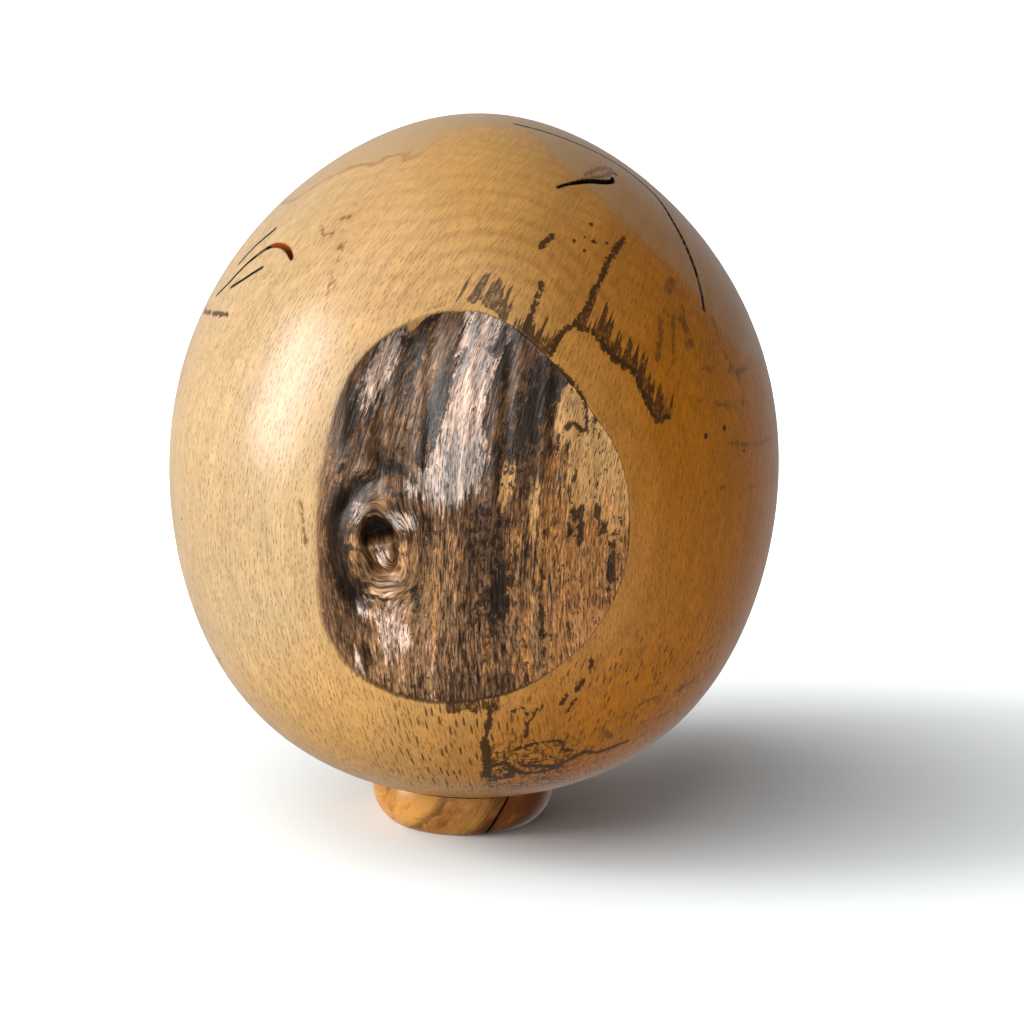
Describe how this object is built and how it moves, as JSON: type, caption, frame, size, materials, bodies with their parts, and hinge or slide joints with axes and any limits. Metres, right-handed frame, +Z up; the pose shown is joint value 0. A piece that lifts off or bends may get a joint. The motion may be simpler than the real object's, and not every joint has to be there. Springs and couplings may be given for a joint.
{
  "type": "turned wooden egg on a dished foot",
  "caption": "Large polished turned hardwood egg with a natural under-bark window, a knot and drying cracks, resting in a small dished wooden foot.",
  "frame": {"origin": "centre of the foot's round base, on the surface that it stands on", "axes": "+Z up along the foot's axis; the natural window looks towards -Y; the egg leans a little towards +X"},
  "size_m": [0.1837, 0.1833, 0.2162],
  "materials": {
    "pale_spalted_wood": "polished",
    "brown_wood": "satin"
  },
  "bodies": {
    "root": {"egg": "pale_spalted_wood", "foot": "brown_wood"}
  },
  "joints": []
}
